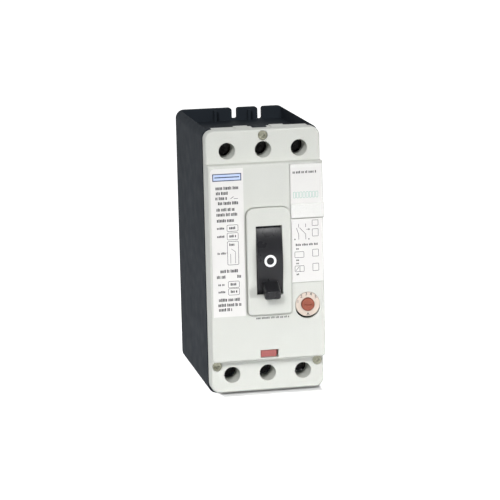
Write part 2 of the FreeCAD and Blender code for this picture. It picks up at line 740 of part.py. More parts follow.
def make_arc_chutes():
    """Per pole: two fibre cheeks holding nine steel splitter plates with a throat notch."""
    low, high = 31.5, 55
    for pole, side in POLES.items():
        middle_x = pole_x(side)
        cheeks = [box(f"arc_cheek_{pole}_{name}", (middle_x + inner, middle_x + inner + 1),
                      (12, 62), (low, high))
                  for name, inner in (("a", 8.3), ("b", -9.3))]
        nodes[f"arc_chute_{pole}"] = group(f"arc_chute_{pole}", cheeks)
        plates = [box(f"splitter_{pole}_{number}", (middle_x - 8.3, middle_x + 8.3),
                      (16 + 5 * number, 17.2 + 5 * number), (low + 1.5, high - 1))
                  for number in range(9)]
        throat = rod(f"arc_throat_{pole}", 4.5, "y", (middle_x, low + 1.5), (10, 64))
        stack = group(f"splitter_stack_{pole}", plates)
        nodes[f"splitter_plates_{pole}"] = cut(f"splitter_plates_{pole}", stack, throat)


def make_fixed_contacts():
    front = S.bar_rear + S.bar_gauge
    tips = [box(f"fixed_tip_{pole}", (pole_x(side) - 3, pole_x(side) + 3),
                (front, front + S.contact_gauge), (21, 28))
            for pole, side in POLES.items()]
    nodes["fixed_contacts"] = group("fixed_contacts", tips)


def on_crossbar(item):
    """Stand a piece made about its own origin on the crossbar axis, turned to the open stop."""
    tilt(item, S.contact_opening)
    return place(item, 0, S.crossbar_depth, S.crossbar_height)


def make_crossbar():
    """Moulded shaft across the three poles, slotted for the contact arms."""
    reach = INNER_SIDE - 0.4
    shaft = rod("crossbar_shaft", S.crossbar_radius, "x", (0, 0), (-reach, reach))
    slots = []
    for pole, side in POLES.items():
        half = S.arm_gauge / 2
        slots.append(box(f"arm_slot_{pole}", (pole_x(side) - half, pole_x(side) + half),
                         (-S.arm_half, S.arm_half), (-10, 10)))
    lug_room = box("link_lug_room", (-S.arm_gauge / 2, S.arm_gauge / 2), (0, 10), (0, 10))
    nodes["crossbar"] = on_crossbar(
        cut("crossbar", shaft, fuse("arm_slots", [*slots, lug_room])))
    keepers = []
    for name, side in (("left", -1), ("right", 1)):
        boundary = side * S.pole_pitch / 2
        half = S.partition / 2 - 0.1
        keepers.append(box(f"keeper_{name}", (boundary - half, boundary + half),
                           (S.crossbar_depth + S.crossbar_radius + 0.4, 40),
                           (S.crossbar_height - 8.2, S.crossbar_height + 8.2)))
    nodes["crossbar_keepers"] = group("crossbar_keepers", keepers)


def make_contact_arms():
    """Copper arms with a silver tip facing the floor; the centre arm carries the link lug."""
    tips = []
    for pole, side in POLES.items():
        half = S.arm_half
        outline = [(-half, -9), (-half, S.arm_length), (half - 2, S.arm_length), (half, 30)]
        if pole == "centre":
            outline += [(half, 16), (9, 15), (9, 9), (half, 8)]
        outline += [(half, -9)]
        holes = ((LINK_PIN[0], LINK_PIN[1], S.pin_radius + S.running_fit),)
        name = f"contact_arm_{pole}"
        arm = profile_plate(name, outline, S.arm_gauge, 0, holes if pole == "centre" else ())
        tilt(arm, S.contact_opening)
        nodes[name] = place(arm, pole_x(side), S.crossbar_depth, S.crossbar_height)
        tips.append(box(f"moving_tip_{pole}", (pole_x(side) - 2.5, pole_x(side) + 2.5),
                        (-S.arm_half - S.contact_gauge - 0.1, -S.arm_half),
                        (S.arm_length - 7, S.arm_length - 0.5)))
    nodes["moving_contacts"] = on_crossbar(group("moving_contacts", tips))


LINK_PIN = (6, 12)


def make_braids():
    """Flexible copper leads from under each arm to the trip unit, in a lazy bend."""
    braids = []
    for pole, side in POLES.items():
        braids.append(profile_plate(f"braid_{pole}", [
            (S.bar_rear + 2.5, -38.2), (S.bar_rear + 5, -38.2), (13, -34), (14, -28),
            (13, -24.5), (10.8, -24.2), (11.6, -28), (10.8, -33.2), (S.bar_rear + 2.5, -36)],
            5, pole_x(side)))
    nodes["braids"] = group("braids", braids)


# ---------------------------------------------------------------- operating mechanism

def link_points():
    """Knee and crossbar pin, in (depth, height), with the contacts open."""
    angle = math.radians(SIZES["contact_opening"])
    offset, along = LINK_PIN
    depth = SIZES["crossbar_depth"] + along * math.sin(angle) + offset * math.cos(angle)
    height = SIZES["crossbar_height"] + along * math.cos(angle) - offset * math.sin(angle)
    top = (SIZES["cradle_pin_depth"], SIZES["cradle_pin_height"])
    span = math.dist(top, (depth, height))
    upper, lower = SIZES["upper_link"], SIZES["lower_link"]
    along_span = (upper ** 2 - lower ** 2 + span ** 2) / (2 * span)
    out = math.sqrt(upper ** 2 - along_span ** 2)
    unit = ((depth - top[0]) / span, (height - top[1]) / span)
    knee = (top[0] + along_span * unit[0] + out * unit[1],
            top[1] + along_span * unit[1] - out * unit[0])
    if knee[1] > top[1]:
        knee = (top[0] + along_span * unit[0] - out * unit[1],
                top[1] + along_span * unit[1] + out * unit[0])
    return knee, (depth, height)


def link_pair(name, start, end, inner):
    """Two flat links with round ends between two pin centres, one each side of the middle."""
    length = math.dist(start, end)
    width = 5.5
    angle = math.degrees(math.atan2(end[1] - start[1], start[0] - end[0]))
    pairs = []
    for tag, side in (("a", 1), ("b", -1)):
        span = sorted_span(side * size(inner), side * (size(inner) + 1.2))
        blade = box(f"{name}_{tag}_blade", span, (-length, 0), (-width / 2, width / 2))
        parts = [blade]
        holes = []
        for mark, at in (("near", 0), ("far", -length)):
            parts.append(rod(f"{name}_{tag}_{mark}_eye", width / 2, "x", (at, 0), span))
            holes.append(rod(f"{name}_{tag}_{mark}_hole", S.pin_radius + S.running_fit, "x",
                             (at, 0), (span[0] - 1, span[1] + 1)))
        pairs.append(cut(f"{name}_{tag}", fuse(f"{name}_{tag}_plate", parts),
                         fuse(f"{name}_{tag}_holes", holes)))
    item = group(name, pairs)
    item.Placement = Placement(Vector(0, -start[0], start[1]), Rotation(Vector(1, 0, 0), angle))
    return item


def make_linkage():
    knee, arm_pin = link_points()
    top = (SIZES["cradle_pin_depth"], SIZES["cradle_pin_height"])
    nodes["upper_links"] = link_pair("upper_links", top, knee, 4.3)
    nodes["lower_links"] = link_pair("lower_links", knee, arm_pin, 2.8)
    nodes["knee_pin"] = rod("knee_pin", S.pin_radius, "x", knee, (-5.6, 5.6))
    nodes["link_pin"] = rod("link_pin", S.pin_radius, "x", arm_pin, (-2.6, 2.6))


def make_mechanism_frame():
    """Steel side plates over the centre pole, with the pins that hold them apart."""
    outline = [(27, -10), (27, 22), (70, 22), (88, 14), (88, -9), (62, -14), (40, -14)]
    holes = (
        (HANDLE_DEPTH, HANDLE_HEIGHT, 2),
        (S.cradle_pin_depth, S.cradle_pin_height, S.pin_radius),
    )
    plates = []
    for name, side in (("right", 1), ("left", -1)):
        middle_x = side * (S.plate_inside + S.plate_gauge / 2)
        plates.append(profile_plate(f"side_plate_{name}", outline, S.plate_gauge, middle_x, holes))
    nodes["mechanism_side_plates"] = group("mechanism_side_plates", plates)
    pivot = rod("handle_pivot_pin", 2, "x", (HANDLE_DEPTH, HANDLE_HEIGHT), (-9.6, 9.6))
    cradle_pin = rod("cradle_pin", S.pin_radius, "x",
                     (S.cradle_pin_depth, S.cradle_pin_height), (-9.6, 9.6))
    nodes["mechanism_pins"] = group("mechanism_pins", [pivot, cradle_pin])
    nodes["cradle"] = profile_plate(
        "cradle", [(56, -4), (56, 4), (60, 18), (64, 20), (67, 17), (65, 3), (63, -4)], 3, 0,
        ((S.cradle_pin_depth, S.cradle_pin_height, S.pin_radius),))
    nodes["latch"] = profile_plate(
        "latch", [(65, 20.5), (65, 23), (72, 23), (72, 12), (69, 12), (69, 20.5)], 8, 0)


def make_handle():
    """Curved black drum with a tongue-shaped knob, seen through the bezel window."""
    spread = S.drum_spread
    sectors = []
    for name, radius in (("outer", S.drum_radius), ("inner", S.drum_radius - S.drum_skin)):
        sector = new("Part::Cylinder", f"drum_{name}")
        bind(sector, "Radius", radius)
        bind(sector, "Height", S.window_width - 0.6)
        bind(sector, "Angle", 2 * spread)
        sectors.append(sector)
    skin = cut("drum_skin", sectors[0], sectors[1])
    # The sector opens from local +X; turned so that its middle faces forward and its axis lies on X.
    spin = Rotation(Vector(0, 0, 1), -90 - SIZES["drum_spread"])
    skin.Placement = Placement(Vector(), TURNED["x"].multiply(spin))
    bind(skin, "Placement.Base.x", -(S.window_width - 0.6) / 2)
    half = S.knob_width / 2
    root = S.drum_radius - 2
    tip = S.drum_radius + S.knob_reach
    knob = profile_plate("knob_tongue", [
        (root, -S.knob_root / 2), (root, S.knob_root / 2),
        (S.drum_radius + 2, S.knob_root / 2 - 0.8), (tip, S.knob_root / 2 - 2),
        (tip, -S.knob_root / 2 + 0.2), (S.drum_radius + 2, -S.knob_root / 2)], S.knob_width)
    front = -tip.number
    edges = rounded("knob_rounded", knob, 1.4,
                    lambda at: at.y < -SIZES["drum_radius"] - 1 and (
                        near(abs(at.x), half) or near(at.y, front)))
    handle = fuse("handle", [skin, edges])
    place(tilt(handle, S.knob_angle), S.handle_offset, HANDLE_DEPTH, HANDLE_HEIGHT)
    nodes["handle"] = handle
    ring = cut("ring_band", rod("ring_outer", 3.75, "y", (0, 0), (40, 50)),
               rod("ring_inner", 2.3, "y", (0, 0), (39, 51)))
    shell = cut("ring_shell", rod("ring_shell_outer", S.drum_radius + 0.15, "x", (0, 0), (-6, 6)),
                rod("ring_shell_inner", S.drum_radius, "x", (0, 0), (-7, 7)))
    mark = new("Part::Common", "off_mark")
    mark.Base = ring
    mark.Tool = shell
    nodes["off_mark"] = place(mark, S.handle_offset, HANDLE_DEPTH, HANDLE_HEIGHT)


def make_yoke():
    """Steel stirrup under the drum; its legs turn on the handle pivot pin."""
    inner = S.plate_inside - 1.6
    radius = S.drum_radius - S.drum_skin
    legs = []
    for tag, side in (("a", 1), ("b", -1)):
        span = sorted_span(side * inner, side * (S.plate_inside - 0.3))
        legs.append(box(f"yoke_leg_{tag}", span, (0, radius - 1), (-4.5, 4.5)))
        legs.append(rod(f"yoke_eye_{tag}", 4.5, "x", (0, 0), span))
    bridge = box("yoke_bridge", (-inner - 1.3, inner + 1.3), (radius - 3, radius - 0.4), (-4.5, 4.5))
    hole = rod("yoke_hole", 2 + S.running_fit, "x", (0, 0), (-9, 9))
    yoke = cut("handle_yoke", fuse("yoke_solid", [*legs, bridge]), hole)
    nodes["handle_yoke"] = place(tilt(yoke, S.knob_angle), 0, HANDLE_DEPTH, HANDLE_HEIGHT)


def make_springs():
    """Two extension springs from the yoke bridge to the knee, as round coil envelopes."""
    knee, _ = link_points()
    reach = SIZES["drum_radius"] - SIZES["drum_skin"] - 3.4
    lean = math.radians(SIZES["knob_angle"])
    start = (HANDLE_DEPTH.number + reach * math.cos(lean),
             HANDLE_HEIGHT.number - reach * math.sin(lean))
    gap = 3.4
    length = math.dist(start, knee)
    unit = Vector(0, start[0] - knee[0], knee[1] - start[1]).normalize()
    begin = Vector(0, -start[0], start[1]) + unit * 0.6
    coils = []
    for tag, side in (("a", 1), ("b", -1)):
        outer = Part.makeCylinder(1.9, length - gap, begin + Vector(side * 2.15, 0, 0), unit)
        bore = Part.makeCylinder(1.2, length - gap, begin + Vector(side * 2.15, 0, 0), unit)
        coil = new("Part::Feature", f"mechanism_spring_{tag}")
        coil.Shape = outer.cut(bore)
        coils.append(coil)
    nodes["mechanism_springs"] = group("mechanism_springs", coils)


# ---------------------------------------------------------------- trip unit

def make_trip_unit():
    yokes = []
    for pole, side in POLES.items():
        middle_x = pole_x(side)
        nodes[f"bimetal_{pole}"] = profile_plate(f"bimetal_{pole}", [
            (8.5, -52), (8.5, -47.5), (70, -47.5), (70, -48.5), (9.7, -48.5), (9.7, -52)],
            6, middle_x)
        outside = box(f"yoke_block_{pole}", (middle_x - 7.5, middle_x + 7.5), (26, 40), (-52, -41))
        inside = box(f"yoke_gap_{pole}", (middle_x - 6, middle_x + 6), (25, 41), (-53, -42.5))
        yokes.append(cut(f"magnet_yoke_{pole}", outside, inside))
        plate = box(f"armature_plate_{pole}", (middle_x - 7, middle_x + 7),
                    (S.armature_hinge - 1, 60), (-54.9, -53.9))
        hook = box(f"armature_hook_{pole}", (middle_x + 4.2, middle_x + 6),
                   (58.8, 60), (-54.4, -51.8))
        roll = rod(f"armature_roll_{pole}", 0.8, "x", (S.armature_hinge, -54.4),
                   (middle_x - 7, middle_x + 7))
        nodes[f"armature_{pole}"] = fuse(f"armature_{pole}", [plate, hook, roll])
    nodes["magnet_yokes"] = group("magnet_yokes", yokes)


def make_trip_bar():
    """Light shaft across the poles with a finger for each bimetal and armature."""
    depth, height = S.trip_bar_depth, S.trip_bar_height
    parts = [rod("trip_shaft", S.trip_bar_radius, "x", (depth, height), (-31, 31))]
    for pole, side in POLES.items():
        middle_x = pole_x(side)
        parts.append(box(f"bimetal_finger_{pole}", (middle_x - 2.4, middle_x + 2.4),
                         (66, depth), (height - 0.9, height + 0.5)))
        parts.append(box(f"armature_finger_{pole}", (middle_x + 4.2, middle_x + 6),
                         (57.5, depth), (height - 2.3, height - 0.9)))
    parts.append(box("button_lever", (-2.5, 2.5), (depth - 1, depth + 1),
                     (S.button_height - 2, height)))
    nodes["trip_bar"] = fuse("trip_bar", parts)


def make_trip_button():
    """Red push button with a plunger that ends just in front of the trip bar's lever."""
    button = new_body("trip_button")
    across = (-S.button_width / 2 - 0.25, S.button_width / 2 - 0.25)
    tall = S.button_tall / 2
    face = sketch_on(button, "button_face", "XZ_Plane", MAIN_FRONT - 4)
    rectangle(face, across, (S.button_height - tall, S.button_height + tall))
    cap = pad(button, face, 3.2)
    front = -(MAIN_FRONT - 0.8).number
    round_edges(button, cap, 0.4, lambda at: near(at.y, front))
    flange = sketch_on(button, "button_flange", "XZ_Plane", MAIN_FRONT - 6.2)
    rectangle(flange, (across[0] - 1.2, across[1] + 1.9),
              (S.button_height - 1.5, S.button_height + tall + 0.8))
    pad(button, flange, 2.4)
    plunger = sketch_on(button, "button_plunger", "XZ_Plane", S.trip_bar_depth + 1.7)
    circle(plunger, (0, PLUNGER_HEIGHT), 1.5)
    pad(button, plunger, MAIN_FRONT - 5 - S.trip_bar_depth - 1.7)
    nodes["trip_button"] = button
    reach = (SEAT_DEPTH + 2.1, MAIN_FRONT - 6.3)
    nodes["button_spring"] = cut(
        "button_spring", rod("spring_outside", 2.2, "y", (0, PLUNGER_HEIGHT), reach),
        rod("spring_inside", 1.65, "y", (0, PLUNGER_HEIGHT), (reach[0] - 1, reach[1] + 1)))


def make_dial():
    """Slotted setting knob on its stem, in a fixed round scale."""
    knob = new_body("adjusting_dial")
    front = MAIN_FRONT + 1.6
    face = sketch_on(knob, "dial_face", "XZ_Plane", MAIN_FRONT - 0.4)
    circle(face, (0, 0), S.dial_radius)
    cap = pad(knob, face, front - MAIN_FRONT + 0.4)
    round_edges(knob, cap, 0.5, lambda at: near(at.y, -front.number))
    stem = sketch_on(knob, "dial_stem", "XZ_Plane", S.base_depth - 6)
    circle(stem, (0, 0), 2)
    pad(knob, stem, MAIN_FRONT - S.base_depth + 5.8)
    slot = sketch_on(knob, "dial_slot", "XZ_Plane", front + 0.5)
    polygon(slot, [(-3.2, 0), (-1.4, 1.1), (-1.4, 0.45), (2.6, 0.45),
                   (2.6, -0.45), (-1.4, -0.45), (-1.4, -1.1)])
    pocket(knob, slot, 1.4)
    nodes["adjusting_dial"] = place(knob, S.dial_across, 0, S.dial_height)
    scale = new_body("dial_scale")
    disc = sketch_on(scale, "scale_disc", "XZ_Plane", MAIN_FRONT - 3.4)
    circle(disc, (0, 0), S.scale_radius)
    rim = pad(scale, disc, 3.9)
    round_edges(scale, rim, 0.35, lambda at: near(at.y, -(MAIN_FRONT + 0.5).number))
    bore = sketch_on(scale, "scale_bore", "XZ_Plane", MAIN_FRONT + 1)
    circle(bore, (0, 0), S.dial_radius + 0.25)
    pocket(scale, bore, 1.6)
    shaft_bore = sketch_on(scale, "scale_shaft_bore", "XZ_Plane", MAIN_FRONT + 1)
    circle(shaft_bore, (0, 0), 2.3)
    pocket(scale, shaft_bore, 6)
    nodes["dial_scale"] = place(scale, S.dial_across, 0, S.dial_height)


# ---------------------------------------------------------------- assembly and export

def check():
    """Stop on any failed feature, and on any piece without a valid solid."""
    for item in doc.Objects:
        if "Invalid" in item.State or "Error" in item.State:
            raise RuntimeError(f"{item.Name}: {item.State}")
    for name, item in nodes.items():
        shape = item.Shape
        if shape.isNull() or not shape.isValid() or not shape.Solids:
            raise RuntimeError(f"{name} has no valid solid")


def main():
    nodes["base_housing"] = make_base()
    nodes["front_cover"] = make_cover()
    nodes["handle_bezel"] = make_bezel()
    nodes["accessory_flap"] = make_flap()
    nodes["accessory_cover"] = make_bay_cover()
    for make in (make_labels, make_auxiliary_switch, make_cover_screws, make_inserts,
                 make_terminal_bars, make_clamps, make_arc_chutes, make_fixed_contacts,
                 make_crossbar, make_contact_arms, make_braids, make_linkage,
                 make_mechanism_frame, make_handle, make_yoke, make_springs,
                 make_trip_unit, make_trip_bar, make_trip_button, make_dial):
        make()
    doc.recompute()
    check()
    os.makedirs("parts", exist_ok=True)
    for name, item in nodes.items():
        item.Shape.exportStep(f"parts/{name}.step")
    print(f"{len(nodes)} pieces written")


main()
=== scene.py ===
"""Looks of a three-pole moulded-case motor breaker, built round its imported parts.

Everything is in metres in the parts' own frame: X across the poles, Y from the front face back to
the mounting face, Z along the current path. Print is laid out in millimetres from the top left
corner of the face that carries it.
"""
import json
import math
import random

import bmesh
import bpy
from mathutils import Matrix, Vector


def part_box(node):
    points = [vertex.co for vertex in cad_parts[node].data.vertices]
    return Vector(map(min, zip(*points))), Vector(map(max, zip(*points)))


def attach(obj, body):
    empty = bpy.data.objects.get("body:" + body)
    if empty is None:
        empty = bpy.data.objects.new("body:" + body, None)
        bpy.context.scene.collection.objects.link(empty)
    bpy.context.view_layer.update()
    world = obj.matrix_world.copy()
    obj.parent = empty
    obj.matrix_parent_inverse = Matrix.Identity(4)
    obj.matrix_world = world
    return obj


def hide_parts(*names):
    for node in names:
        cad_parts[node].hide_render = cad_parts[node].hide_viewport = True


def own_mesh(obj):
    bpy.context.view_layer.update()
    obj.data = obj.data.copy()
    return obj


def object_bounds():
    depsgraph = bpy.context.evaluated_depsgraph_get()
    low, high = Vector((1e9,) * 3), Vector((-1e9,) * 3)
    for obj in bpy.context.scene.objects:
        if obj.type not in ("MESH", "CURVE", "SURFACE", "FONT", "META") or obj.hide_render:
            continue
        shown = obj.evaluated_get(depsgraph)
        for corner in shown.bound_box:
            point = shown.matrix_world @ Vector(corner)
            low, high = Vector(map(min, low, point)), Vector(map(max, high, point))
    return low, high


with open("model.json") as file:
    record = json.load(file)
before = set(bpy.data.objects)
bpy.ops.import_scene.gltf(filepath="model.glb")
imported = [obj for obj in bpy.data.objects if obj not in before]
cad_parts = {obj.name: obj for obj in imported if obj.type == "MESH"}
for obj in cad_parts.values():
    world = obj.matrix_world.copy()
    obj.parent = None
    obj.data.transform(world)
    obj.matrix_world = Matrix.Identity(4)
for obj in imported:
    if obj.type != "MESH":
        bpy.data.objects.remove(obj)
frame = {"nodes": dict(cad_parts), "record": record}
cad_low, cad_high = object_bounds()

MM = 0.001
NODES = frame["nodes"]

# Print: how far it sinks into its face and stands proud of it, and the gaps in a line of text
INK_SINK = 0.02 * MM
INK_PROUD = 0.035 * MM
BLOCK_GAP = 0.22
WORD_GAP = 0.55

# How finely round things are divided
CORNER_STEPS = 6
COIL_STEPS = 16
WIRE_SIDES = 8
SWEEP_STEP = 10

ROUND_CORNER = 5.5 * MM

# Sockets of the mix node in its colour mode
FACTOR_INPUT, FIRST_INPUT, SECOND_INPUT, COLOUR_OUTPUT = 0, 6, 7, 2


# ---------------------------------------------------------------- node material helpers

def new_material(name):
    """An empty node material: its tree and its one shader."""
    material = bpy.data.materials.new(name)
    material.use_nodes = True
    tree = material.node_tree
    tree.nodes.clear()
    shader = tree.nodes.new("ShaderNodeBsdfPrincipled")
    output = tree.nodes.new("ShaderNodeOutputMaterial")
    tree.links.new(shader.outputs["BSDF"], output.inputs["Surface"])
    return material, tree, shader


def stretched_coordinates(tree, stretch):
    """Positions on the object, stretched along each axis; a small number makes long streaks."""
    source = tree.nodes.new("ShaderNodeTexCoord")
    mapping = tree.nodes.new("ShaderNodeMapping")
    mapping.inputs["Scale"].default_value = stretch
    tree.links.new(source.outputs["Object"], mapping.inputs["Vector"])
    return mapping.outputs["Vector"]


def noise(tree, size, detail=3.0, stretch=(1, 1, 1)):
    """Noise whose features are about that many millimetres across."""
    texture = tree.nodes.new("ShaderNodeTexNoise")
    texture.inputs["Scale"].default_value = 1 / (size * MM)
    texture.inputs["Detail"].default_value = detail
    tree.links.new(stretched_coordinates(tree, stretch), texture.inputs["Vector"])
    return texture.outputs["Fac"]


def as_colour(value):
    """A grey or a colour, with its alpha."""
    if isinstance(value, (int, float)):
        return (value, value, value, 1)
    return (*value, 1)


def ramp(tree, value, low, high, start=0.3, end=0.7):
    """Colours, or greys, between two places on a 0 to 1 value."""
    node = tree.nodes.new("ShaderNodeValToRGB")
    first, last = node.color_ramp.elements
    first.position, last.position = start, end
    first.color = as_colour(low)
    last.color = as_colour(high)
    tree.links.new(value, node.inputs["Fac"])
    return node.outputs["Color"]


def mix(tree, factor, first, second, blend="MIX"):
    """Blend two colours; the factor is a socket or a number."""
    node = tree.nodes.new("ShaderNodeMix")
    node.data_type = "RGBA"
    node.blend_type = blend
    for index, value in ((FACTOR_INPUT, factor), (FIRST_INPUT, first), (SECOND_INPUT, second)):
        socket = node.inputs[index]
        if isinstance(value, bpy.types.NodeSocket):
            tree.links.new(value, socket)
        else:
            socket.default_value = value if isinstance(value, float) else as_colour(value)
    return node.outputs[COLOUR_OUTPUT]


def rounded_normal(tree, radius):
    """Normals that run round the corners over a small radius."""
    bevel = tree.nodes.new("ShaderNodeBevel")
    bevel.samples = 4
    bevel.inputs["Radius"].default_value = radius * MM
    return bevel.outputs["Normal"]


def edge_mask(tree, normal):
    """1 on sharp corners, 0 on flat stretches."""
    geometry = tree.nodes.new("ShaderNodeNewGeometry")
    dot = tree.nodes.new("ShaderNodeVectorMath")
    dot.operation = "DOT_PRODUCT"
    tree.links.new(normal, dot.inputs[0])
    tree.links.new(geometry.outputs["Normal"], dot.inputs[1])
    return ramp(tree, dot.outputs["Value"], 1.0, 0.0, 0.80, 0.985)


def bump(tree, shader, normal, layers):
    """Stack height textures, given as (value, strength, height in millimetres)."""
    for value, strength, height in layers:
        node = tree.nodes.new("ShaderNodeBump")
        node.inputs["Strength"].default_value = strength
        node.inputs["Distance"].default_value = height * MM
        tree.links.new(value, node.inputs["Height"])
        if normal is not None:
            tree.links.new(normal, node.inputs["Normal"])
        normal = node.outputs["Normal"]
    tree.links.new(normal, shader.inputs["Normal"])


def tones(colour, spread):
    """The darker and the lighter end of a colour's drift."""
    return ([channel * (1 - spread) for channel in colour],
            [min(1, channel * (1 + spread)) for channel in colour])


def moulded(name, colour, roughness=0.5, spread=0.06, edge=0.10, grain=0.45, radius=0.3,
            streak=None, specular=0.5):
    """Moulded plastic: soft tone drift, fine sparkle grain, corners lighter by wear and painted
    highlight.
    """
    material, tree, shader = new_material(name)
    shader.inputs["Specular IOR Level"].default_value = specular
    normal = rounded_normal(tree, radius)
    drift = ramp(tree, noise(tree, 28, 4), *tones(colour, spread))
    if streak:
        bands = ramp(tree, noise(tree, 5, 3, streak), 0.90, 1.08)
        drift = mix(tree, 1.0, drift, bands, "MULTIPLY")
    speckle = ramp(tree, noise(tree, 0.5, 2), 0.97, 1.03, 0.35, 0.65)
    body = mix(tree, 1.0, drift, speckle, "MULTIPLY")
    # Corners are lightened: partly wear, partly a painted highlight along the edges.
    rubbed_and_highlit = [min(1, channel * (1 + 2 * edge) + edge * 0.05) for channel in colour]
    wear_and_highlight_edges = edge_mask(tree, normal)
    patchy_wear_and_highlight = mix(tree, 1.0, wear_and_highlight_edges, ramp(tree, noise(tree, 3, 4), 0.0, 1.0, 0.35, 0.75), "MULTIPLY")
    tree.links.new(mix(tree, patchy_wear_and_highlight, body, rubbed_and_highlit), shader.inputs["Base Color"])
    matt = ramp(tree, noise(tree, 9, 5), max(0.05, roughness - 0.05), roughness + 0.06)
    tree.links.new(matt, shader.inputs["Roughness"])
    layers = [(noise(tree, 22, 2), 0.25, 0.06), (noise(tree, grain, 3), 0.22, 0.03)]
    if streak:
        layers.append((noise(tree, 0.5, 3, streak), 0.5, 0.04))
    bump(tree, shader, normal, layers)
    return material


def metal(name, colour, roughness=0.3, brush=(1, 1, 1), spread=0.08, stain=None, radius=0.15):
    """Rolled or plated metal: brushed streaks, drifting tone, and stains where they are given."""
    material, tree, shader = new_material(name)
    shader.inputs["Metallic"].default_value = 1.0
    normal = rounded_normal(tree, radius)
    body = ramp(tree, noise(tree, 6, 4), *tones(colour, spread))
    if stain:
        body = mix(tree, ramp(tree, noise(tree, 4, 5), 0.0, 0.8, 0.45, 0.7), body, stain)
    tree.links.new(body, shader.inputs["Base Color"])
    lines = noise(tree, 0.6, 3, brush)
    rough = ramp(tree, lines, max(0.05, roughness - 0.08), roughness + 0.12)
    tree.links.new(rough, shader.inputs["Roughness"])
    bump(tree, shader, normal, [(lines, 0.3, 0.01)])
    return material


def card(name, colour):
    """Printed film: nearly white satin with a trace of orange peel and yellowing."""
    material, tree, shader = new_material(name)
    darker = [channel * 0.965 for channel in colour]
    tint = ramp(tree, noise(tree, 14, 3), darker, colour)
    fibre = ramp(tree, noise(tree, 0.7, 2), 0.985, 1.0)
    tree.links.new(mix(tree, 1.0, tint, fibre, "MULTIPLY"), shader.inputs["Base Color"])
    tree.links.new(ramp(tree, noise(tree, 6, 3), 0.34, 0.46), shader.inputs["Roughness"])
    bump(tree, shader, rounded_normal(tree, 0.1), [(noise(tree, 1.6, 2), 0.12, 0.02)])
    return material


def ink(name, colour, fade=0.25):
    """Print with slightly uneven cover."""
    material, tree, shader = new_material(name)
    thin = [channel + (0.8 - channel) * fade for channel in colour]
    tree.links.new(ramp(tree, noise(tree, 0.9, 4), colour, thin, 0.4, 0.8),
                   shader.inputs["Base Color"])
    tree.links.new(ramp(tree, noise(tree, 2, 2), 0.45, 0.6), shader.inputs["Roughness"])
    return material


# ---------------------------------------------------------------- materials

MATERIALS = {
    "base_black": moulded("base_plastic", (0.017, 0.0215, 0.0275), 0.72, spread=0.10, edge=0.5,
                          specular=0.06),
    "cover_grey": moulded("cover_plastic", (0.565, 0.575, 0.54), 0.50, spread=0.018, edge=0.05,
                          radius=0.25, specular=0.3),
    "panel_white": moulded("panel_plastic", (0.70, 0.70, 0.68), 0.42, spread=0.012, edge=0.02,
                           radius=0.2, specular=0.35),
    "label_white": card("label_film", (0.70, 0.69, 0.675)),
    "black_plastic": moulded("inner_plastic", (0.03, 0.03, 0.03), 0.6),
    "zinc_steel": metal("zinc_plate", (0.40, 0.39, 0.34), 0.38, stain=(0.27, 0.26, 0.18)),
    "brass": metal("turned_brass", (0.78, 0.58, 0.27), 0.28, stain=(0.5, 0.34, 0.15)),
    "copper": metal("bar_copper", (0.80, 0.42, 0.27), 0.32, (1, 1, 0.06),
                    stain=(0.42, 0.20, 0.12)),
    "fibre": moulded("chute_fibre", (0.33, 0.17, 0.09), 0.8, spread=0.2),
    "steel": metal("bright_steel", (0.56, 0.56, 0.57), 0.33, (0.08, 1, 1)),
    "bimetal": metal("strip_metal", (0.62, 0.57, 0.50), 0.38, (1, 0.06, 1),
                     stain=(0.40, 0.33, 0.42)),
    "silver": metal("contact_silver", (0.88, 0.87, 0.84), 0.25, stain=(0.45, 0.42, 0.36)),
    "handle_black": moulded("handle_plastic", (0.010, 0.010, 0.012), 0.30, spread=0.15, edge=0.5,
                            grain=0.25, streak=(0.9, 1, 0.04), radius=0.35, specular=0.3),
    "mark_white": moulded("mark_paint", (0.82, 0.82, 0.82), 0.4, spread=0.02, edge=0.0,
                          radius=0.05),
    "trip_bar_plastic": moulded("trip_bar_plastic", (0.62, 0.45, 0.20), 0.5),
    "button_red": moulded("button_plastic", (0.31, 0.085, 0.08), 0.42, spread=0.06, radius=0.2),
    "dial_red": moulded("dial_plastic", (0.26, 0.060, 0.030), 0.40, spread=0.08, edge=0.3,
                        radius=0.2),
    "scale_cream": moulded("scale_plastic", (0.59, 0.50, 0.43), 0.45, spread=0.03, edge=0.02,
                           radius=0.15),
}
NODE_LOOKS = {
    "cover_screws": metal("passivated_steel", (0.28, 0.28, 0.22), 0.30, stain=(0.09, 0.09, 0.06)),
    # Terminal screws sit deep in their holes; their near-black colour is painted shade.
    "terminal_screws": metal("shade_darkened_steel", (0.04, 0.04, 0.04), 0.5, stain=(0.02, 0.02, 0.018)),
    "line_terminal": metal("tinned_bar", (0.30, 0.29, 0.27), 0.45, stain=(0.16, 0.13, 0.10)),
    "load_terminal": metal("tinned_bar_load", (0.30, 0.29, 0.27), 0.45, stain=(0.16, 0.13, 0.10)),
}
INK_DARK = ink("ink_dark", (0.030, 0.028, 0.032), 0.15)
INK_GREY = ink("ink_grey", (0.065, 0.065, 0.065), 0.12)
INK_GREEN = ink("ink_green", (0.26, 0.48, 0.40), 0.2)
INK_BLUE = ink("ink_blue", (0.020, 0.035, 0.095), 0.08)
INK_PALE_BLUE = ink("ink_pale_blue", (0.46, 0.56, 0.80), 0.2)


def dress_nodes():
    """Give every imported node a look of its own, of its family, or of its material slot."""
    for entry in frame["record"]["subparts"]:
        node = NODES[entry["node"]]
        node.data.materials.clear()
        family = entry["node"].rsplit("_", 1)[0]
        look = NODE_LOOKS.get(entry["node"]) or NODE_LOOKS.get(family)
        node.data.materials.append(look or MATERIALS[entry["material_slot"]])


# ---------------------------------------------------------------- mesh helpers

